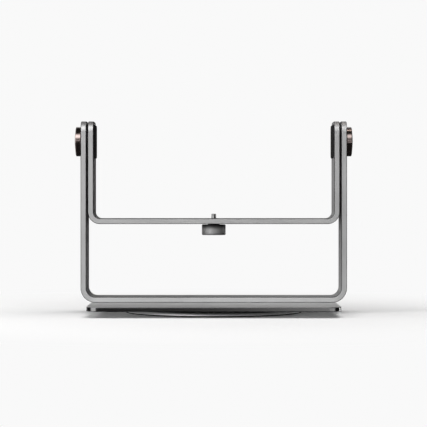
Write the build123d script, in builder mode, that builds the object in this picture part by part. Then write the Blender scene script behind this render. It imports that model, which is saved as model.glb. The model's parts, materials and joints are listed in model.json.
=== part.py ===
from build123d import *

import os

# Tilt-and-swivel desk stand, in millimetres.
# +X runs along the tilt axis, the front faces -Y, and +Z is up from the surface it stands on.
# A turntable disc carries a base plate with a U bracket. A smaller U hangs between its arms on
# two clamp knobs, and a captive camera screw stands in the middle of the smaller U's bar.

# Flat bar brackets
bar_width = 50.0
edge_bevel = 0.7
arm_top = 240.0
arm_corner = 12.5
pivot_height = 215.0

outer_half = 166.5
outer_thickness = 7.0
outer_bend = 18.0
outer_floor = 13.0

arm_gap = 2.0
inner_half = outer_half - outer_thickness - arm_gap
inner_thickness = 7.0
inner_bend = 15.0
seat_height = 118.2
inner_floor = seat_height - inner_thickness

# Clearances
running = 0.05
face_gap = 0.05

# Turntable disc and its foot ring
disc_radius = 112.0
disc_bottom = 1.5
disc_thickness = 3.6
disc_top = disc_bottom + disc_thickness
disc_edge = 0.5
disc_shoulder = 2.8
ring_inner = 97.0
ring_outer = 110.5
ring_groove = 0.9

# Base plate
plate_bottom = 7.6
plate_top = outer_floor
plate_length = 306.0
plate_depth = 250.0
plate_corner = 15.0
plate_edge = 0.7

# Thrust bearing in the gap between disc and plate
ball_count = 24
ball_radius = 2.5
ball_clearance = 0.1
race_radius = 80.0
ball_height = (disc_top + plate_bottom) / 2
cage_half_width = 6.5
cage_thickness = 1.6

# Centre pivot
stud_head_radius = 14.0
stud_head_thickness = 1.5
stud_recess = 2.0
stud_neck_radius = 7.0
stud_shoulder_radius = 6.0
stud_thread_radius = 4.0
washer_lift = 0.1
pivot_washer_radius = 10.0
pivot_washer_thickness = 0.8
pivot_nut_flats = 13.0
pivot_nut_height = 3.5
pocket_radius = 11.0
pocket_depth = 5.0
bush_radius = 8.0
bush_flange_radius = 12.0
bush_flange = 1.1

# Countersunk screws between plate and bracket, outside the disc so that they can be reached
screw_x = 125.0
screw_y = 15.0
screw_radius = 2.5
screw_head_radius = 5.0
screw_head_sink = 0.3
screw_hole_depth = 5.5
screw_length = 10.0
screw_socket_flats = 3.0
screw_socket_depth = 1.8

# Tilt bolts, from the inside of the cradle outwards
bolt_head_radius = 10.5
bolt_head_thickness = 2.9
bolt_recess = 3.0
bolt_recess_radius = 11.0
bolt_neck_radius = 6.0
bolt_radius = 4.0
bolt_reach = 171.7
bolt_clearance = bolt_radius + running
arm_bush_radius = 6.0
friction_radius = 17.0
pad_width = 42.0
pad_height = 41.5
pad_corner = 5.0
pad_thickness = 1.5
pad_edge = 0.7

# Clamp knobs
thrust_radius = 10.0
thrust_thickness = 0.6
knob_radius = 18.5
knob_inner_face = outer_half + thrust_thickness + 2 * face_gap
knob_rim = 173.9
knob_edge = 1.0
knob_foot_edge = 0.4
cap_radius = 16.0
cap_seat = 1.2
cap_rise = 1.4
cap_crown_radius = (cap_radius**2 + cap_rise**2) / (2 * cap_rise)
insert_radius = 6.5
insert_length = 4.9

# Mounting screw, 1/4 inch
mount_radius = 3.175
mount_top = 123.9
mount_point = 0.6
bar_hole_radius = 3.4
clip_recess_radius = 5.6
clip_travel = 3.0
clip_thickness = 0.8
clip_radius = 4.8
clip_mouth = 3.6
groove_radius = 2.5
groove_width = 1.0
clip_play = (groove_width - clip_thickness) / 2
clip_bottom = seat_height - groove_width + clip_play
screw_washer_radius = 7.5
screw_washer_thickness = 0.8
thumb_radius = 15.0
thumb_top = inner_floor - screw_washer_thickness
thumb_bottom = 97.1
thumb_edge = 0.8
thumb_dish_radius = 10.0
thumb_dish_depth = 1.0
shank_sink = 10.0

SIDES = (("left", -1), ("right", 1))
tilt_axis = Axis((0, 0, pivot_height), (1, 0, 0))


def across_pivot(side, distance):
    """A plane square to the tilt axis, at a distance from the middle, facing outwards."""
    return Plane(origin=(side * distance, 0, pivot_height), x_dir=(0, side, 0), z_dir=(side, 0, 0))


def along_pivot(side):
    """A plane through the tilt axis: first coordinate outwards along it, second up from it."""
    return Plane(origin=(0, 0, pivot_height), x_dir=(side, 0, 0), z_dir=(0, -side, 0))


def outermost(piece, side):
    """The round edge of a disc that lies furthest towards one end of the tilt axis."""
    return piece.edges().filter_by(GeomType.CIRCLE).sort_by(Axis.X, reverse=side > 0)[0]


def save(piece, name):
    """Labels a finished sub-part and writes it under its own name."""
    piece.part.label = name
    export_step(piece.part, f"parts/{name}.step")


def bracket(half, floor, thickness, bend):
    """A flat bar bent to a U, with rounded arm ends and bevelled edges."""
    with BuildPart() as piece:
        with BuildSketch(Plane.XZ):
            with BuildLine():
                outline = [(-half, arm_top), (-half, floor), (half, floor), (half, arm_top)]
                FilletPolyline(*outline, radius=bend)
                offset(amount=thickness, side=Side.LEFT)
            make_face()
        extrude(amount=bar_width / 2, both=True)
        fillet(piece.edges().filter_by(Axis.X).group_by(Axis.Z)[-1], arm_corner)
        front = piece.faces().sort_by(Axis.Y)[0]
        back = piece.faces().sort_by(Axis.Y)[-1]
        chamfer(front.edges() + back.edges(), edge_bevel)
    return piece


def ring(plane, outer, inner, thickness):
    """A flat washer that stands on a plane."""
    with BuildPart() as piece:
        with BuildSketch(plane):
            Circle(outer)
            Circle(inner, mode=Mode.SUBTRACT)
        extrude(amount=thickness)
    return piece


os.makedirs("parts", exist_ok=True)

# ---------------------------------------------------------------- turntable, which stands still

with BuildPart() as turntable_disc:
    with BuildSketch(Plane.XY.offset(disc_bottom)):
        Circle(disc_radius)
    extrude(amount=disc_thickness)
    rims = turntable_disc.edges().filter_by(GeomType.CIRCLE).sort_by(Axis.Z)
    fillet(rims[-1], disc_shoulder)
    fillet(rims[0], disc_edge)
    with BuildSketch(Plane.XY.offset(disc_bottom)):
        Circle(ring_outer)
        Circle(ring_inner, mode=Mode.SUBTRACT)
    extrude(amount=ring_groove, mode=Mode.SUBTRACT)
    with BuildSketch(Plane.XY.offset(disc_bottom)):
        Circle(stud_head_radius + running)
    extrude(amount=stud_recess, mode=Mode.SUBTRACT)
    with BuildSketch(Plane.XY.offset(disc_bottom)):
        Circle(stud_neck_radius)
    extrude(amount=disc_thickness, mode=Mode.SUBTRACT)
    with BuildSketch(Plane.XZ):
        with Locations((race_radius, ball_height)):
            Circle(ball_radius + ball_clearance)
    revolve(axis=Axis.Z, mode=Mode.SUBTRACT)
save(turntable_disc, "turntable_disc")

foot_ring = ring(Plane.XY, ring_outer, ring_inner, disc_bottom + ring_groove)
save(foot_ring, "foot_ring")

# Head, neck pressed into the disc, shoulder that the plate turns on, and thread
stud_roof = disc_bottom + stud_recess
stud_shoulder_top = plate_top + washer_lift
stud_top = stud_shoulder_top + pivot_washer_thickness + pivot_nut_height
with BuildPart() as pivot_stud:
    with BuildSketch(Plane.XZ):
        with BuildLine():
            Polyline(
                (0, stud_roof - stud_head_thickness),
                (stud_head_radius, stud_roof - stud_head_thickness),
                (stud_head_radius, stud_roof),
                (stud_neck_radius, stud_roof),
                (stud_neck_radius, disc_top),
                (stud_shoulder_radius, disc_top),
                (stud_shoulder_radius, stud_shoulder_top),
                (stud_thread_radius, stud_shoulder_top),
                (stud_thread_radius, stud_top),
                (0, stud_top),
                close=True,
            )
        make_face()
    revolve(axis=Axis.Z)
save(pivot_stud, "pivot_stud")

washer_plane = Plane.XY.offset(stud_shoulder_top)
stud_clearance = stud_thread_radius + running
pivot_washer = ring(washer_plane, pivot_washer_radius, stud_clearance, pivot_washer_thickness)
save(pivot_washer, "pivot_washer")

with BuildPart() as pivot_nut:
    with BuildSketch(Plane.XY.offset(stud_shoulder_top + pivot_washer_thickness)):
        RegularPolygon(pivot_nut_flats / 2, 6, major_radius=False)
        Circle(stud_thread_radius, mode=Mode.SUBTRACT)
    extrude(amount=pivot_nut_height)
save(pivot_nut, "pivot_nut")

# ---------------------------------------------------------------- ball bearing under the plate

cage_bottom = ball_height - cage_thickness / 2
with BuildPart() as bearing_cage:
    with BuildSketch(Plane.XY.offset(cage_bottom)):
        Circle(race_radius + cage_half_width)
        Circle(race_radius - cage_half_width, mode=Mode.SUBTRACT)
        with PolarLocations(race_radius, ball_count):
            Circle(ball_radius + ball_clearance, mode=Mode.SUBTRACT)
    extrude(amount=cage_thickness)
save(bearing_cage, "bearing_cage")

with BuildPart(Plane.XY.offset(ball_height)) as bearing_balls:
    with PolarLocations(race_radius, ball_count):
        Sphere(ball_radius)
save(bearing_balls, "bearing_balls")

# ---------------------------------------------------------------- swivelling base

with BuildPart() as base_plate:
    with BuildSketch(Plane.XY.offset(plate_bottom)):
        RectangleRounded(plate_length, plate_depth, plate_corner)
    extrude(amount=plate_top - plate_bottom)
    rims = base_plate.faces().filter_by(Axis.Z)
    fillet(rims.edges(), plate_edge)
    with BuildSketch(Plane.XY.offset(plate_bottom)):
        Circle(bush_radius)
    extrude(amount=plate_top - plate_bottom, mode=Mode.SUBTRACT)
    with BuildSketch(Plane.XZ):
        with Locations((race_radius, ball_height)):
            Circle(ball_radius + ball_clearance)
    revolve(axis=Axis.Z, mode=Mode.SUBTRACT)
    with Locations(Plane(origin=(0, 0, plate_bottom), z_dir=(0, 0, -1))):
        with GridLocations(2 * screw_x, 2 * screw_y, 2, 2):
            CounterSinkHole(screw_radius + running, screw_head_radius + screw_head_sink)
save(base_plate, "base_plate")

with BuildPart() as outer_bracket:
    add(bracket(outer_half, outer_floor, outer_thickness, outer_bend))
    with BuildSketch(Plane.XY.offset(outer_floor)):
        Circle(pocket_radius)
    extrude(amount=pocket_depth, mode=Mode.SUBTRACT)
    with BuildSketch(Plane.XY.offset(outer_floor)):
        with GridLocations(2 * screw_x, 2 * screw_y, 2, 2):
            Circle(screw_radius)
    extrude(amount=screw_hole_depth, mode=Mode.SUBTRACT)
    with BuildSketch(across_pivot(1, 0)):
        Circle(arm_bush_radius)
    extrude(amount=outer_half, both=True, mode=Mode.SUBTRACT)
save(outer_bracket, "outer_bracket")

# Countersunk socket screws, drawn head down in the plate's underside
screw_face = plate_bottom + screw_head_sink
screw_cone = screw_head_radius - screw_radius
with BuildPart() as bracket_screw:
    with BuildSketch(Plane.XZ):
        with BuildLine():
            Polyline(
                (0, screw_face),
                (screw_head_radius, screw_face),
                (screw_radius, screw_face + screw_cone),
                (screw_radius, plate_bottom + screw_length),
                (0, plate_bottom + screw_length),
                close=True,
            )
        make_face()
    revolve(axis=Axis.Z)
    with BuildSketch(Plane.XY.offset(screw_face)):
        RegularPolygon(screw_socket_flats / 2, 6, major_radius=False)
    extrude(amount=screw_socket_depth, mode=Mode.SUBTRACT)
with BuildPart() as bracket_screws:
    with GridLocations(2 * screw_x, 2 * screw_y, 2, 2):
        add(bracket_screw.part)
save(bracket_screws, "bracket_screws")

with BuildPart() as pivot_bush:
    with BuildSketch(Plane.XY.offset(plate_bottom - bush_flange)):
        Circle(bush_flange_radius)
    extrude(amount=bush_flange)
    with BuildSketch(Plane.XY.offset(plate_bottom)):
        Circle(bush_radius)
    extrude(amount=plate_top - plate_bottom)
    with BuildSketch(Plane.XY.offset(plate_bottom - bush_flange)):
        Circle(stud_shoulder_radius + running)
    extrude(amount=plate_top - plate_bottom + bush_flange, mode=Mode.SUBTRACT)
save(pivot_bush, "pivot_bush")

for name, side in SIDES:
    arm_inside = across_pivot(side, outer_half - outer_thickness)
    arm_bush = ring(arm_inside, arm_bush_radius, bolt_clearance, outer_thickness)
    save(arm_bush, f"{name}_arm_bush")

# ---------------------------------------------------------------- tilting cradle

arm_face = inner_half - inner_thickness
with BuildPart() as inner_bracket:
    add(bracket(inner_half, inner_floor, inner_thickness, inner_bend))
    with BuildSketch(Plane.XY.offset(inner_floor)):
        Circle(bar_hole_radius)
    extrude(amount=inner_thickness, mode=Mode.SUBTRACT)
    with BuildSketch(Plane.XY.offset(clip_bottom - clip_travel - face_gap)):
        Circle(clip_recess_radius)
    extrude(amount=inner_thickness, mode=Mode.SUBTRACT)
    with BuildSketch(across_pivot(1, 0)):
        Circle(bolt_neck_radius)
    extrude(amount=inner_half, both=True, mode=Mode.SUBTRACT)
    with BuildSketch(across_pivot(1, 0)):
        Circle(bolt_recess_radius)
    extrude(amount=arm_face + bolt_recess, both=True, mode=Mode.SUBTRACT)
save(inner_bracket, "inner_bracket")

# Turned bolt: head in the arm's recess, neck pressed into the arm, shank out to the knob
head_out = arm_face + bolt_recess
head_in = head_out - bolt_head_thickness
for name, side in SIDES:
    with BuildPart() as pivot_bolt:
        with BuildSketch(along_pivot(side)):
            with BuildLine():
                Polyline(
                    (head_in, 0),
                    (head_in, bolt_head_radius),
                    (head_out, bolt_head_radius),
                    (head_out, bolt_neck_radius),
                    (inner_half, bolt_neck_radius),
                    (inner_half, bolt_radius),
                    (bolt_reach, bolt_radius),
                    (bolt_reach, 0),
                    close=True,
                )
            make_face()
        revolve(axis=tilt_axis)
    save(pivot_bolt, f"{name}_pivot_bolt")

    gap_plane = across_pivot(side, inner_half)
    friction_washer = ring(gap_plane, friction_radius, bolt_clearance, arm_gap - face_gap)
    save(friction_washer, f"{name}_friction_washer")

    with BuildPart() as arm_pad:
        with BuildSketch(across_pivot(side, arm_face - pad_thickness)):
            RectangleRounded(pad_width, pad_height, pad_corner)
        extrude(amount=pad_thickness)
        pad_face = arm_pad.faces().sort_by(Axis.X, reverse=side < 0)[0]
        fillet(pad_face.edges(), pad_edge)
    save(arm_pad, f"{name}_arm_pad")

# ---------------------------------------------------------------- clamp knobs

cap_floor = knob_rim - cap_seat
cap_crown = knob_rim + cap_rise
for name, side in SIDES:
    thrust_plane = across_pivot(side, outer_half + face_gap)
    thrust_washer = ring(thrust_plane, thrust_radius, bolt_clearance, thrust_thickness)
    save(thrust_washer, f"{name}_thrust_washer")

    with BuildPart() as knob_body:
        with BuildSketch(across_pivot(side, knob_inner_face)):
            Circle(knob_radius)
        extrude(amount=knob_rim - knob_inner_face)
        fillet(outermost(knob_body, side), knob_edge)
        fillet(outermost(knob_body, -side), knob_foot_edge)
        with BuildSketch(across_pivot(side, knob_inner_face)):
            Circle(insert_radius)
        extrude(amount=insert_length, mode=Mode.SUBTRACT)
        with BuildSketch(across_pivot(side, cap_floor)):
            Circle(cap_radius)
        extrude(amount=cap_seat, mode=Mode.SUBTRACT)
    save(knob_body, f"{name}_knob_body")

    insert_plane = across_pivot(side, knob_inner_face)
    knob_insert = ring(insert_plane, insert_radius, bolt_clearance, insert_length)
    save(knob_insert, f"{name}_knob_insert")

    with BuildPart() as knob_cap:
        with BuildSketch(along_pivot(side)):
            with BuildLine():
                RadiusArc((cap_crown, 0), (knob_rim, cap_radius), -cap_crown_radius)
                Polyline((knob_rim, cap_radius), (cap_floor, cap_radius), (cap_floor, 0), (cap_crown, 0))
            make_face()
        revolve(axis=tilt_axis)
    save(knob_cap, f"{name}_knob_cap")

# ---------------------------------------------------------------- mounting screw

with BuildPart() as mount_screw:
    with BuildSketch(Plane.XY.offset(thumb_top - shank_sink)):
        Circle(mount_radius)
    extrude(amount=mount_top - thumb_top + shank_sink)
    chamfer(mount_screw.edges().group_by(Axis.Z)[-1], mount_point)
    with BuildSketch(Plane.XY.offset(seat_height - groove_width)):
        Circle(mount_radius)
        Circle(groove_radius, mode=Mode.SUBTRACT)
    extrude(amount=groove_width, mode=Mode.SUBTRACT)
save(mount_screw, "mount_screw")

with BuildPart() as retaining_clip:
    with BuildSketch(Plane.XY.offset(clip_bottom)):
        Circle(clip_radius)
        Circle(groove_radius + running, mode=Mode.SUBTRACT)
        with Locations((clip_radius, 0)):
            Rectangle(2 * clip_radius, clip_mouth, mode=Mode.SUBTRACT)
    extrude(amount=clip_thickness)
save(retaining_clip, "retaining_clip")

screw_washer = ring(
    Plane.XY.offset(thumb_top), screw_washer_radius, mount_radius + running, screw_washer_thickness
)
save(screw_washer, "screw_washer")

with BuildPart() as thumb_knob:
    with BuildSketch(Plane.XY.offset(thumb_bottom)):
        Circle(thumb_radius)
    extrude(amount=thumb_top - thumb_bottom)
    chamfer(thumb_knob.edges().filter_by(GeomType.CIRCLE), thumb_edge)
    with BuildSketch(Plane.XY.offset(thumb_bottom)):
        Circle(thumb_dish_radius)
    extrude(amount=thumb_dish_depth, mode=Mode.SUBTRACT)
    with BuildSketch(Plane.XY.offset(thumb_top)):
        Circle(mount_radius)
    extrude(amount=-shank_sink, mode=Mode.SUBTRACT)
save(thumb_knob, "thumb_knob")
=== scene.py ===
import json
import math

import bmesh
import bpy
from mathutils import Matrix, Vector


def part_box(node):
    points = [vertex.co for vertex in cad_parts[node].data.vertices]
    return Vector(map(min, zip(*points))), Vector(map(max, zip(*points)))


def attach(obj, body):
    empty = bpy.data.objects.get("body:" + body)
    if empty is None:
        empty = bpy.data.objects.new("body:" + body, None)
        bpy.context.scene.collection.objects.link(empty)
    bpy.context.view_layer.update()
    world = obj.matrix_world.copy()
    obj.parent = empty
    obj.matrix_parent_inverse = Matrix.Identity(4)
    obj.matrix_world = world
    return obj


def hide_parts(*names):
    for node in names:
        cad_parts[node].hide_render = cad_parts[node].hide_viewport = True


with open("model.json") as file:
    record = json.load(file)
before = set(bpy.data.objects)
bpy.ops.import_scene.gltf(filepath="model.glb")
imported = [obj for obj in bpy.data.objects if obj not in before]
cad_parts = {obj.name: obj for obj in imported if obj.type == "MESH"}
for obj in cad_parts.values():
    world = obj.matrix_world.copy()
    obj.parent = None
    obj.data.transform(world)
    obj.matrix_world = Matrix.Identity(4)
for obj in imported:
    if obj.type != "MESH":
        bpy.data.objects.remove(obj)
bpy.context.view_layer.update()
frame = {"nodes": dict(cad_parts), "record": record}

# A tilt-and-swivel stand of satin aluminium bar, on a pale floor in soft studio light.
# The CAD nodes stay as they are and get procedural materials. The camera screw is rebuilt with
# its thread cut. Lengths are in metres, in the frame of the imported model.

MM = 0.001
INCH = 25.4 * MM
SIDES = ("left", "right")
WHITE = (1, 1, 1)


# ---------------------------------------------------------------- measures read from the frame

def extent(node, axis):
    """Lowest and highest coordinate of a CAD node along one axis."""
    low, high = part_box(node)
    return low[axis], high[axis]


def mount(name):
    """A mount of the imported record, by name."""
    return next(m for m in frame["record"]["mounts"] if m["name"] == name)


TILT_HEIGHT = sum(extent("left_knob_body", 2)) / 2
SEAT_HEIGHT = mount("device_seat")["pos_m"][2]
OUTER_LOW = extent("outer_bracket", 2)[0]
INNER_LOW = extent("inner_bracket", 2)[0]
THUMB_LOW, THUMB_HIGH = extent("thumb_knob", 2)


# ---------------------------------------------------------------- finishes
# Textures, in features to the metre

BLAST_GRAIN = 2600
ROLLED_ACROSS = 2200
ROLLED_ALONG = 14
BAR_CLOUD = 16
BAR_RUB = 90
PLATE_CLOUD = 12
PLATE_SCUFFS = (400, 36, 60)
TURNED_RINGS = (5200, 5200, 1)
TURNED_BANDS = (500, 500, 1)
TURNED_CLOUD = 60
KNOB_RINGS = (4200, 900, 1)
KNOB_CLOUD = 70
MOULDED_GRAIN = 1400
RUBBER_GRAIN = 900
MOULDED_CLOUD = 45
STEEL_CLOUD = 160
STEEL_SCRATCHES = (1800, 240, 700)
PAPER_GRAIN = 900

# Relief

BLAST_DEPTH = 0.02 * MM
ROLLED_DEPTH = 0.012 * MM
TURNED_DEPTH = 0.015 * MM
KNOB_DEPTH = 0.008 * MM
MOULDED_DEPTH = 0.03 * MM
SCRATCH_DEPTH = 0.006 * MM

# Heights that the finishes and the thumb knob's painted shade follow

OUTER_BEND = 18 * MM
INNER_BEND = 15 * MM
# Painted shade on the thumb knob: darker towards its top, standing in for the shadow under the bar,
# and darker towards its foot
THUMB_TOP_PAINTED_SHADE = (THUMB_HIGH - 7 * MM, THUMB_HIGH - 0.5 * MM, 0.95)
THUMB_FOOT_PAINTED_SHADE = (THUMB_LOW + 5 * MM, THUMB_LOW, 0.5)

# Camera screw

THREADS_PER_INCH = 20
THREAD_DEPTH = 0.45         # of the pitch
THREAD_FLANK = 1.6          # depths fallen over half the pitch, with
THREAD_CREST = 0.4          # this much of them cut off to leave a flat crest
THREAD_START = 0.01 * MM
SCREW_POINT = 0.6 * MM
CLIP_GROOVE_WIDTH = 1.0 * MM
CLIP_GROOVE_RADIUS = 2.5 * MM
RINGS_PER_PITCH = 20
RING_CORNERS = 72

# Studio

BACKDROP = 0.947
ROOM_GLOW = 0.02
FLOOR_RADIUS = 14.0
FLOOR_CORNERS = 96
# Radii over which the floor's painted shade round the stand fades out
FLOOR_PAINTED_SHADE_RADII = (0.16, 0.5)
FLOOR_FADES = (0.22, 0.55)
SENSOR_WIDTH = 36.0         # millimetres, as Blender wants it
LENS = 143.3                # millimetres too
CAMERA_PLACE = (-0.00034, -2.149, 0.135)
CAMERA_DIP = 0.287          # degrees below level
FAR_CLIP = 100.0

# Soft-edged panels that the metal reflects: angles in degrees, azimuth 0 in front, positive to
# the right. The first four are in front of the stand, the others beside and behind it.

PANELS = (
    dict(azimuth=-18, elevation=41, half_wide=20, half_tall=13, fade=12, strength=4.0),
    dict(azimuth=-50, elevation=17, half_wide=26, half_tall=23, fade=7, strength=2.4),
    dict(azimuth=29, elevation=-5.5, half_wide=26, half_tall=3, fade=2, strength=1.7),
    dict(azimuth=-4, elevation=9, half_wide=24, half_tall=4, fade=3, strength=1.15),
    dict(azimuth=122, elevation=-4, half_wide=6, half_tall=2.5, fade=2, strength=7.0),
    dict(azimuth=180, elevation=28, half_wide=12, half_tall=13, fade=6, strength=0.6),
    dict(azimuth=-140, elevation=34, half_wide=22, half_tall=12, fade=6, strength=0.55),
    dict(azimuth=138, elevation=44, half_wide=22, half_tall=14, fade=6, strength=0.6),
    dict(azimuth=-146, elevation=2, half_wide=12, half_tall=12, fade=6, strength=0.8),
)

# Area lights, in metres and watts: the rim light shows in the metal, and the others light only
# the floor and what is matt.

LIGHTS = (
    dict(name="rim_light", place=(0.3, 0.17, 1.3), target=(0.3, 0, 0.2), width=0.5, height=0.12,
         power=0.7, colour=(1, 0.9, 0.82)),
    dict(name="floor_light", place=(0.4, 0.1, 2.4), target=(0.1, 0, 0.1), width=3.0, height=3.0,
         power=66, glossy=False),
    dict(name="low_left_light", place=(-1.5, -0.5, 0.14), target=(0, 0, 0), width=0.5, height=0.2,
         power=18, glossy=False),
    dict(name="low_right_light", place=(1.5, -0.5, 0.14), target=(0, 0, 0), width=0.5, height=0.2,
         power=14, glossy=False),
    dict(name="front_light", place=(-0.4, -1.5, 0.26), target=(0, 0, 0), width=1.4, height=0.3,
         power=5.0, glossy=False),
    dict(name="side_light", place=(-1.6, -0.5, 1.0), target=(0, 0, 0.1), width=0.7, height=0.7,
         power=14, glossy=False),
)


# ---------------------------------------------------------------- material kit

class Graph:
    """Short calls that add nodes to one node tree."""

    def __init__(self, tree):
        self.tree = tree

    def add(self, kind, out=0, settings=(), **inputs):
        """Adds a node, links or sets its inputs by name, and returns one of its outputs."""
        node = self.tree.nodes.new("ShaderNode" + kind)
        for key, value in dict(settings).items():
            setattr(node, key, value)
        for key, value in inputs.items():
            self.feed(node.inputs[key.replace("_", " ")], value)
        return node.outputs[out]

    def feed(self, socket, value):
        """Links a node's output to a socket, or sets the socket's own value."""
        if isinstance(value, bpy.types.NodeSocket):
            self.tree.links.new(value, socket)
        else:
            socket.default_value = value

    def fill(self, kind, operation, values, out=0):
        """A node whose inputs are filled in order."""
        node = self.tree.nodes.new(kind)
        if operation:
            node.operation = operation
        for socket, value in zip(node.inputs, values):
            self.feed(socket, value)
        return node.outputs[out]

    def math(self, operation, *values):
        """A Math node on up to three numbers."""
        return self.fill("ShaderNodeMath", operation, values)

    def vector(self, operation, *values, out=0):
        """A Vector Math node on up to three vectors."""
        return self.fill("ShaderNodeVectorMath", operation, values, out)

    def length(self, vector):
        """The length of a vector."""
        return self.vector("LENGTH", vector, out="Value")

    def product(self, *values):
        """All the numbers multiplied together."""
        total = values[0]
        for value in values[1:]:
            total = self.math("MULTIPLY", total, value)
        return total

    def scaled(self, value, factor, start):
        """A value times a factor, added to a start."""
        return self.math("MULTIPLY_ADD", value, factor, start)

    def split(self, vector):
        """The three coordinates of a vector."""
        node = self.tree.nodes.new("ShaderNodeSeparateXYZ")
        self.feed(node.inputs[0], vector)
        return tuple(node.outputs)

    def span(self, value, low, high, to_low=0.0, to_high=1.0):
        """A value taken from one span of numbers to another, smoothly, and held at the ends."""
        return self.add(
            "MapRange", settings={"interpolation_type": "SMOOTHSTEP"},
            Value=value, From_Min=low, From_Max=high, To_Min=to_low, To_Max=to_high,
        )

    def between(self, factor, first, second):
        """A mix of two numbers."""
        node = self.tree.nodes.new("ShaderNodeMix")
        sockets = (node.inputs[0], node.inputs[2], node.inputs[3])
        for socket, value in zip(sockets, (factor, first, second)):
            self.feed(socket, value)
        return node.outputs[0]

    def blend(self, factor, first, second):
        """A mix of two colours."""
        node = self.tree.nodes.new("ShaderNodeMix")
        node.data_type = "RGBA"
        sockets = (node.inputs[0], node.inputs[6], node.inputs[7])
        for socket, value in zip(sockets, (factor, first, second)):
            self.feed(socket, value)
        return node.outputs[2]


class Look(Graph):
    """One procedural material with a Principled shader."""

    def __init__(self, name, **uniform):
        self.material = bpy.data.materials.new(name)
        self.material.use_nodes = True
        super().__init__(self.material.node_tree)
        self.shader = self.tree.nodes["Principled BSDF"]
        for socket, value in uniform.items():
            self.shader.inputs[socket.replace("_", " ")].default_value = value
        self.place = self.add("TexCoord", out="Object")
        self.facing = self.add("TexCoord", out="Normal")

    def noise(self, per_metre, detail=2.0, at=None):
        """Noise with a number of features to the metre, or one number for each axis."""
        if isinstance(per_metre, int):
            per_metre = (per_metre, per_metre, per_metre)
        point = self.vector("MULTIPLY", at or self.place, per_metre)
        return self.add("TexNoise", Vector=point, Scale=1.0, Detail=detail)

    def bump(self, height, depth, before=None):
        """Relief of a stated depth, on top of any relief before it."""
        extra = {"Normal": before} if before else {}
        return self.add("Bump", Strength=1.0, Distance=depth, Height=height, **extra)

    def finish(self, colour=None, roughness=None, relief=None):
        """Feeds the varying colour, roughness and relief to the shader."""
        for socket, value in (("Base Color", colour), ("Roughness", roughness), ("Normal", relief)):
            if value is not None:
                self.feed(self.shader.inputs[socket], value)
        return self.material


def tone(grey, warmth=0.0):
    """A linear grey, a little warmer where warmth is above 0."""
    return (grey * (1 + warmth), grey, grey * (1 - warmth), 1.0)


BLACK = tone(0.0)


# ---------------------------------------------------------------- materials

def softened_edge(look, axis):
    """1 on faces that tilt about half way towards an axis, such as bevels, 0 elsewhere."""
    along = look.math("ABSOLUTE", look.split(look.facing)[axis])
    leaves_flat = look.span(along, 0.15, 0.45)
    meets_face = look.span(along, 0.75, 0.95, 1.0, 0.0)
    return look.math("MULTIPLY", leaves_flat, meets_face)


def satin_bar(name, floor, bend):
    """Bead-blasted, anodised flat bar: fine grain, faint rolling lines along it, bevels coloured dark
    as painted shade.

    The bar runs from side to side up to its bend, and upwards above it.
    """
    dark, light, painted_shade_bevel, rubbed = tone(0.55), tone(0.65), tone(0.16), tone(0.72)
    flat_rough = 0.42
    bevel_rough = 0.2
    look = Look(name, Metallic=1.0, Specular_Tint=tone(0.2))
    height = look.split(look.place)[2]
    in_arm = look.span(height, floor + bend * 0.4, floor + bend * 1.2)
    blast = look.noise(BLAST_GRAIN, 3)
    cloud = look.noise(BAR_CLOUD, 3)
    lines_across = look.noise((ROLLED_ALONG, ROLLED_ACROSS, ROLLED_ACROSS))
    lines_up = look.noise((ROLLED_ACROSS, ROLLED_ACROSS, ROLLED_ALONG))
    lines = look.between(in_arm, lines_across, lines_up)
    edge = look.between(in_arm, softened_edge(look, 1), softened_edge(look, 0))
    worn = look.span(look.noise(BAR_RUB, 4), 0.5, 0.75, 0.0, 0.3)

    shade = look.scaled(lines, 0.22, look.math("MULTIPLY", cloud, 0.3))
    colour = look.blend(look.span(shade, 0.1, 0.42), dark, light)
    # Painted shade: the bevels are coloured dark, standing in for the dark reflection they show
    colour = look.blend(look.math("MULTIPLY", edge, 0.95), colour, painted_shade_bevel)
    colour = look.blend(look.math("MULTIPLY", edge, worn), colour, rubbed)
    rough = look.scaled(cloud, 0.12, flat_rough)
    rough = look.scaled(blast, 0.08, rough)
    rough = look.between(edge, rough, bevel_rough)
    relief = look.bump(blast, BLAST_DEPTH)
    relief = look.bump(lines, ROLLED_DEPTH, relief)
    return look.finish(colour, rough, relief)


def satin_plate(name):
    """The base plate: satin top and underside, and a dark polished rim all round."""
    dark, light, polished = tone(0.6), tone(0.7), tone(0.2)
    satin_rough = 0.34
    rim_rough = 0.16
    look = Look(name, Metallic=1.0)
    level = look.math("ABSOLUTE", look.split(look.facing)[2])
    rim = look.span(level, 0.86, 0.97, 1.0, 0.0)
    blast = look.noise(BLAST_GRAIN, 3)
    cloud = look.noise(PLATE_CLOUD, 4)
    scuffs = look.span(look.noise(PLATE_SCUFFS, 5), 0.62, 0.75)

    top = look.blend(look.span(cloud, 0.3, 0.7), dark, light)
    top = look.blend(look.math("MULTIPLY", scuffs, 0.25), top, light)
    colour = look.blend(rim, top, polished)
    satin = look.scaled(cloud, 0.14, satin_rough)
    rough = look.between(rim, satin, rim_rough)
    rough = look.scaled(scuffs, -0.05, rough)
    grain = look.math("MULTIPLY", blast, look.math("SUBTRACT", 1.0, rim))
    return look.finish(colour, rough, look.bump(grain, BLAST_DEPTH))


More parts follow.
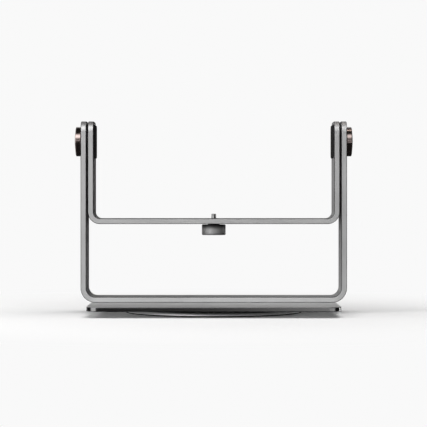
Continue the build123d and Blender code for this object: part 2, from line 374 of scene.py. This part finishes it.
def turned(name, dark, light, rough, painted_shades=()):
    """Lathe-turned round a vertical axis through the origin: fine rings with patchy gloss.

    Each painted shade runs from an unshaded height to a dark one, to its own depth.
    """
    painted_shade_tone = tone(0.02)
    look = Look(name, Metallic=1.0)
    radius = look.length(look.vector("MULTIPLY", look.place, (1, 1, 0)))
    height = look.split(look.place)[2]
    lathe = look.add("CombineXYZ", X=radius, Y=height)
    rings = look.noise(TURNED_RINGS, 3, at=lathe)
    bands = look.noise(TURNED_BANDS, 2, at=lathe)
    cloud = look.noise(TURNED_CLOUD, 3)

    mark = look.scaled(rings, 0.5, look.math("MULTIPLY", bands, 0.5))
    colour = look.blend(look.span(mark, 0.35, 0.65), tone(dark), tone(light))
    # Painted shade: the colour darkens towards the given heights, standing in for shadow
    for unshaded, dim, depth in painted_shades:
        colour = look.blend(look.span(height, unshaded, dim, 0.0, depth), colour, painted_shade_tone)
    gloss = look.scaled(cloud, 0.1, rough - 0.05)
    gloss = look.scaled(rings, 0.06, gloss)
    return look.finish(colour, gloss, look.bump(rings, TURNED_DEPTH))


def knob_copper(name):
    """Glossy dark copper-brown anodising, turned round the tilt axis, paler where it is rubbed."""
    dark = (0.23, 0.18, 0.17, 1)
    light = (0.3, 0.235, 0.22, 1)
    rubbed = (0.4, 0.28, 0.23, 1)
    polished_rough = 0.12
    look = Look(name, Metallic=1.0, Coat_Weight=0.8, Coat_Roughness=0.05)
    offset = look.vector("SUBTRACT", look.place, (0, 0, TILT_HEIGHT))
    radius = look.length(look.vector("MULTIPLY", offset, (0, 1, 1)))
    lathe = look.add("CombineXYZ", X=radius, Y=look.split(offset)[0])
    rings = look.noise(KNOB_RINGS, 3, at=lathe)
    cloud = look.noise(KNOB_CLOUD, 4)
    rub = look.math("MULTIPLY", softened_edge(look, 0), look.span(cloud, 0.5, 0.68))

    colour = look.blend(look.span(cloud, 0.3, 0.7), dark, light)
    colour = look.blend(look.math("MULTIPLY", rub, 0.5), colour, rubbed)
    rough = look.scaled(cloud, 0.08, polished_rough)
    rough = look.scaled(rings, 0.08, rough)
    return look.finish(colour, rough, look.bump(rings, KNOB_DEPTH))


def moulded(name, dark, light, rough, grain=MOULDED_GRAIN, warmth=0.0, **uniform):
    """Fine-textured moulded plastic or rubber, a little dusty in its grain."""
    look = Look(name, Metallic=0.0, **uniform)
    pores = look.noise(grain, 3)
    cloud = look.noise(MOULDED_CLOUD, 4)

    colour = look.blend(look.span(cloud, 0.35, 0.7), tone(dark, warmth), tone(light, warmth))
    gloss = look.scaled(cloud, 0.14, rough - 0.07)
    gloss = look.scaled(pores, 0.1, gloss)
    return look.finish(colour, gloss, look.bump(pores, MOULDED_DEPTH))


def scratched(name, dark, light, rough, warmth=0.0):
    """Steel, bronze or brass with fine scratches and a cloudy sheen."""
    look = Look(name, Metallic=1.0)
    cloud = look.noise(STEEL_CLOUD, 4)
    scratch = look.span(look.noise(STEEL_SCRATCHES, 5), 0.55, 0.72)

    colour = look.blend(look.span(cloud, 0.3, 0.7), tone(dark, warmth), tone(light, warmth))
    gloss = look.scaled(cloud, 0.16, rough - 0.08)
    gloss = look.scaled(scratch, 0.1, gloss)
    return look.finish(colour, gloss, look.bump(scratch, SCRATCH_DEPTH))


def dress(look, *nodes):
    """Puts one material on CAD nodes."""
    for name in nodes:
        for material_slot in frame["nodes"][name].material_slots:
            material_slot.material = look


def dress_pair(look, *parts):
    """Puts one material on CAD nodes that come as a left and a right one."""
    dress(look, *(f"{side}_{part}" for side in SIDES for part in parts))


# ---------------------------------------------------------------- pieces

def smooth(piece, degrees):
    """Smooth shading, with edges sharper than the angle left crisp."""
    piece.data.shade_smooth()
    piece.data.set_sharp_from_angle(angle=math.radians(degrees))


def new_piece(name, mesh, body, look):
    """Links a finished mesh as a piece that rides on a body and takes its finish from a slot."""
    piece = bpy.data.objects.new(name, mesh)
    bpy.context.scene.collection.objects.link(piece)
    piece.data.materials.append(look)
    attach(piece, body)
    return piece


def lathe_grid(name, heights, radius_at, turns):
    """A closed mesh of stacked rings whose radius may vary with height and angle."""
    shape = bmesh.new()
    rings = []
    for height in heights:
        ring = []
        for step in range(turns):
            angle = 2 * math.pi * step / turns
            radius = radius_at(height, angle)
            ring.append(shape.verts.new((radius * math.cos(angle), radius * math.sin(angle), height)))
        rings.append(ring)
    for lower, upper in zip(rings, rings[1:]):
        for step in range(turns):
            after = (step + 1) % turns
            shape.faces.new((lower[step], lower[after], upper[after], upper[step]))
    shape.faces.new(reversed(rings[0]))
    shape.faces.new(rings[-1])
    mesh = bpy.data.meshes.new(name)
    shape.to_mesh(mesh)
    shape.free()
    return mesh


def threaded_screw(look):
    """The camera screw: its inch thread cut, with a pointed end and the retaining clip's groove."""
    low, high = extent("mount_screw", 2)
    thread_low = extent("screw_washer", 2)[1]
    major = mount("camera_screw")["dims"]["r_mm"] * MM
    pitch = INCH / THREADS_PER_INCH
    depth = THREAD_DEPTH * pitch

    def radius_at(height, angle):
        if SEAT_HEIGHT - CLIP_GROOVE_WIDTH <= height <= SEAT_HEIGHT:
            return CLIP_GROOVE_RADIUS
        if height < thread_low:
            return major
        phase = (height / pitch - angle / (2 * math.pi)) % 1.0
        flank = min(max(abs(2 * phase - 1) * THREAD_FLANK - THREAD_CREST, 0.0), 1.0)
        limit = major - max(0.0, height - (high - SCREW_POINT))
        return min(major - depth * flank, limit)

    count = int((high - thread_low) / pitch * RINGS_PER_PITCH)
    heights = [low, thread_low - THREAD_START]
    heights += [thread_low + (high - thread_low) * index / count for index in range(count + 1)]
    mesh = lathe_grid("camera_screw", heights, radius_at, RING_CORNERS)
    piece = new_piece("camera_screw", mesh, "screw", look)
    smooth(piece, degrees=50)
    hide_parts("mount_screw")


# ---------------------------------------------------------------- stage

def floor_look():
    """Pale matt floor, darker near the stand with painted shade, that fades into the background away
    from the stand.
    """
    look = Look("floor_paper", Roughness=0.9, Specular_IOR_Level=0.0, Emission_Strength=1.0)
    away = look.length(look.place)
    # Painted shade: the paper is darker close to the stand, standing in for its soft shadow
    past_painted_shade = look.span(away, *FLOOR_PAINTED_SHADE_RADII)
    far = look.span(away, *FLOOR_FADES)
    grain = look.noise(PAPER_GRAIN, 2)
    paper_in_painted_shade = look.blend(grain, tone(0.79), tone(0.81))
    lighter_paper = look.blend(grain, tone(0.86), tone(0.88))
    paper = look.blend(past_painted_shade, paper_in_painted_shade, lighter_paper)
    look.feed(look.shader.inputs["Emission Color"], look.blend(far, BLACK, tone(BACKDROP)))
    return look.finish(look.blend(far, paper, BLACK))


def floor():
    """A wide round floor under the stand."""
    shape = bmesh.new()
    bmesh.ops.create_circle(shape, cap_ends=True, segments=FLOOR_CORNERS, radius=FLOOR_RADIUS)
    mesh = bpy.data.meshes.new("floor")
    shape.to_mesh(mesh)
    shape.free()
    piece = bpy.data.objects.new("floor", mesh)
    bpy.context.scene.collection.objects.link(piece)
    piece.data.materials.append(floor_look())
    piece.visible_glossy = False


def softbox(name, place, target, width, height, power, colour=WHITE, glossy=True):
    """A rectangular studio light that faces a target, seen in the metal or not."""
    lamp = bpy.data.lights.new(name, "AREA")
    lamp.shape = "RECTANGLE"
    lamp.size = width
    lamp.size_y = height
    lamp.energy = power
    lamp.color = colour
    light = bpy.data.objects.new(name, lamp)
    bpy.context.scene.collection.objects.link(light)
    light.location = place
    light.rotation_euler = (Vector(target) - Vector(place)).to_track_quat("-Z", "Y").to_euler()
    light.visible_camera = False
    light.visible_glossy = glossy


def panel_light(graph, ray, azimuth, elevation, half_wide, half_tall, fade, strength):
    """Light from one soft-edged panel, as a ray meets it."""
    turn = math.radians(azimuth)
    lift = math.radians(elevation)
    level = Vector((math.sin(turn), -math.cos(turn), 0))
    centre = level * math.cos(lift) + Vector((0, 0, math.sin(lift)))
    across = Vector((math.cos(turn), math.sin(turn), 0))
    upward = across.cross(centre)
    ahead = graph.vector("DOT_PRODUCT", ray, centre, out="Value")
    parts = [graph.span(ahead, 0.0, 0.05)]
    for side, half in ((across, half_wide), (upward, half_tall)):
        offset = graph.math("DIVIDE", graph.vector("DOT_PRODUCT", ray, side, out="Value"), ahead)
        reach = math.tan(math.radians(half + fade))
        core = math.tan(math.radians(half - fade))
        parts.append(graph.span(graph.math("ABSOLUTE", offset), core, reach, 1.0, 0.0))
    return graph.product(*parts, strength)


def room_light(graph):
    """How bright the room is in each direction, as the metal sees it."""
    ray = graph.add("TexCoord", out="Generated")
    x, _, z = graph.split(ray)
    off_centre = graph.span(graph.math("ABSOLUTE", x), 0.2, 0.45)
    leftward = graph.span(x, -0.5, 0.5, 1.0, 0.1)
    sides = graph.product(off_centre, leftward)
    below = graph.span(z, -0.3, -0.1, 1.0, 0.0)
    far_below = graph.span(z, -0.5, -0.2, 1.0, 0.0)
    above = graph.span(z, 0.1, 0.3)

    levels = [
        graph.product(below, sides, 0.35),
        graph.product(far_below, off_centre, 0.15),
        graph.product(above, sides, 0.4),
    ]
    levels += [panel_light(graph, ray, **panel) for panel in PANELS]
    total = ROOM_GLOW
    for level in levels:
        total = graph.math("ADD", level, total)
    return total


def studio():
    """The room as the metal sees it, and a plain pale backdrop as the camera sees it."""
    world = bpy.data.worlds.new("studio")
    bpy.context.scene.world = world
    world.use_nodes = True
    world.node_tree.nodes.clear()
    world.cycles_visibility.diffuse = False
    graph = Graph(world.node_tree)
    room = graph.add("Background", Color=tone(1.0), Strength=room_light(graph))
    backdrop = graph.add("Background", Color=tone(BACKDROP), Strength=1.0)
    to_camera = graph.add("LightPath", out="Is Camera Ray")
    surface = graph.fill("ShaderNodeMixShader", None, (to_camera, room, backdrop))
    graph.feed(world.node_tree.nodes.new("ShaderNodeOutputWorld").inputs["Surface"], surface)
    for light in LIGHTS:
        softbox(**light)


def camera():
    """Long lens, straight in front, a little higher than the cradle's bar."""
    lens = bpy.data.cameras.new("camera")
    lens.sensor_width = SENSOR_WIDTH
    lens.lens = LENS
    lens.clip_end = FAR_CLIP
    view = bpy.data.objects.new("camera", lens)
    bpy.context.scene.collection.objects.link(view)
    view.location = CAMERA_PLACE
    view.rotation_euler = (math.radians(90 - CAMERA_DIP), 0, 0)
    bpy.context.scene.camera = view


# ---------------------------------------------------------------- the whole scene

def dress_stand():
    """Materials for every CAD node that shows."""
    plated = scratched("steel_zinc", dark=0.5, light=0.62, rough=0.32)
    black = scratched("steel_black", dark=0.03, light=0.06, rough=0.35)
    bronze = scratched("bronze_sintered", dark=0.3, light=0.42, rough=0.5, warmth=0.35)
    brass = scratched("brass_turned", dark=0.42, light=0.55, rough=0.3, warmth=0.3)
    balls = scratched("steel_polished", dark=0.62, light=0.7, rough=0.12)
    disc = turned("disc_satin", dark=0.6, light=0.72, rough=0.42)
    thumb = turned("thumb_satin", dark=0.42, light=0.5, rough=0.6,
                   painted_shades=(THUMB_TOP_PAINTED_SHADE, THUMB_FOOT_PAINTED_SHADE))
    pad = moulded("pad_black", dark=0.005, light=0.009, rough=0.6, Specular_IOR_Level=0.05)
    fibre = moulded("fibre_black", dark=0.008, light=0.014, rough=0.7, Specular_IOR_Level=0.2)
    rubber = moulded("rubber_black", dark=0.006, light=0.012, rough=0.75, grain=RUBBER_GRAIN,
                     Specular_IOR_Level=0.1)
    nylon = moulded("nylon_natural", dark=0.62, light=0.7, rough=0.42, warmth=0.05)

    dress(satin_bar("outer_satin", OUTER_LOW, OUTER_BEND), "outer_bracket")
    dress(satin_bar("inner_satin", INNER_LOW, INNER_BEND), "inner_bracket")
    dress(satin_plate("plate_satin"), "base_plate")
    dress(disc, "turntable_disc")
    dress(thumb, "thumb_knob")
    dress(rubber, "foot_ring", "screw_washer")
    dress(nylon, "bearing_cage")
    dress(balls, "bearing_balls")
    dress(black, "bracket_screws", "retaining_clip")
    dress(plated, "pivot_stud", "pivot_washer", "pivot_nut")
    dress(bronze, "pivot_bush")
    dress_pair(knob_copper("knob_copper"), "knob_body", "knob_cap")
    dress_pair(pad, "arm_pad")
    dress_pair(fibre, "friction_washer")
    dress_pair(black, "thrust_washer")
    dress_pair(plated, "pivot_bolt")
    dress_pair(bronze, "arm_bush")
    dress_pair(brass, "knob_insert")


camera()
studio()
floor()
bpy.context.scene.view_settings.view_transform = "Standard"
dress_stand()
threaded_screw(scratched("steel_bright", dark=0.42, light=0.52, rough=0.16))
